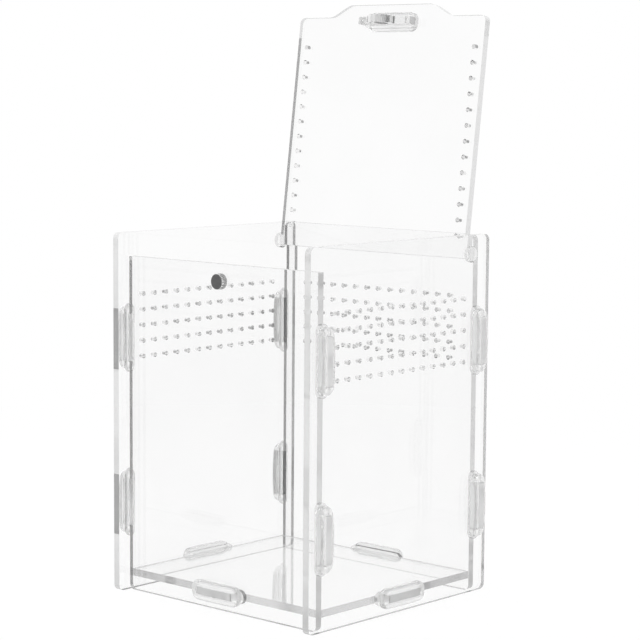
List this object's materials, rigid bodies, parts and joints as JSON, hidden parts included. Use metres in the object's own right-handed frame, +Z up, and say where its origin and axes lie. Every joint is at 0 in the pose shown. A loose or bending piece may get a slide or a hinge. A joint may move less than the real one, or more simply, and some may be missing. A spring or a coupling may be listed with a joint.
{
  "type": "terrarium",
  "caption": "Clear terrarium of flat acrylic panels joined by moulded clips, with vent holes and a hinged lid that shuts on magnets.",
  "frame": {"origin": "on the ground, under the middle of the whole object with its lid open", "axes": "+X to the object's right, +Y from the front to the hinge side, +Z up"},
  "size_m": [0.1128, 0.112, 0.2363],
  "materials": {
    "clear_sheet": "polished clear acrylic",
    "clip": "smooth translucent moulding",
    "magnet": "satin nickel plating"
  },
  "bodies": {
    "tank": {"clip_floor_front": "clip", "clip_floor_left": "clip", "clip_floor_rear": "clip", "clip_floor_right": "clip", "clip_front_left_lower": "clip", "clip_front_left_upper": "clip", "clip_front_right_lower": "clip", "clip_front_right_upper": "clip", "clip_rear_left_lower": "clip", "clip_rear_left_upper": "clip", "clip_rear_right_lower": "clip", "clip_rear_right_upper": "clip", "floor_panel": "clear_sheet", "front_magnet": "magnet", "front_panel": "clear_sheet", "left_wall": "clear_sheet", "rear_panel": "clear_sheet", "right_wall": "clear_sheet"},
    "lid": {"catch_tab": "clear_sheet", "lid_clip": "clip", "lid_magnet": "magnet", "lid_panel": "clear_sheet"}
  },
  "joints": [
    {"name": "lid_hinge", "type": "hinge", "parent": "tank", "child": "lid", "pos_m": [0, 0.03907, 0.1368], "axis": [1, 0, 0], "range_deg": [0, 97.34]}
  ]
}
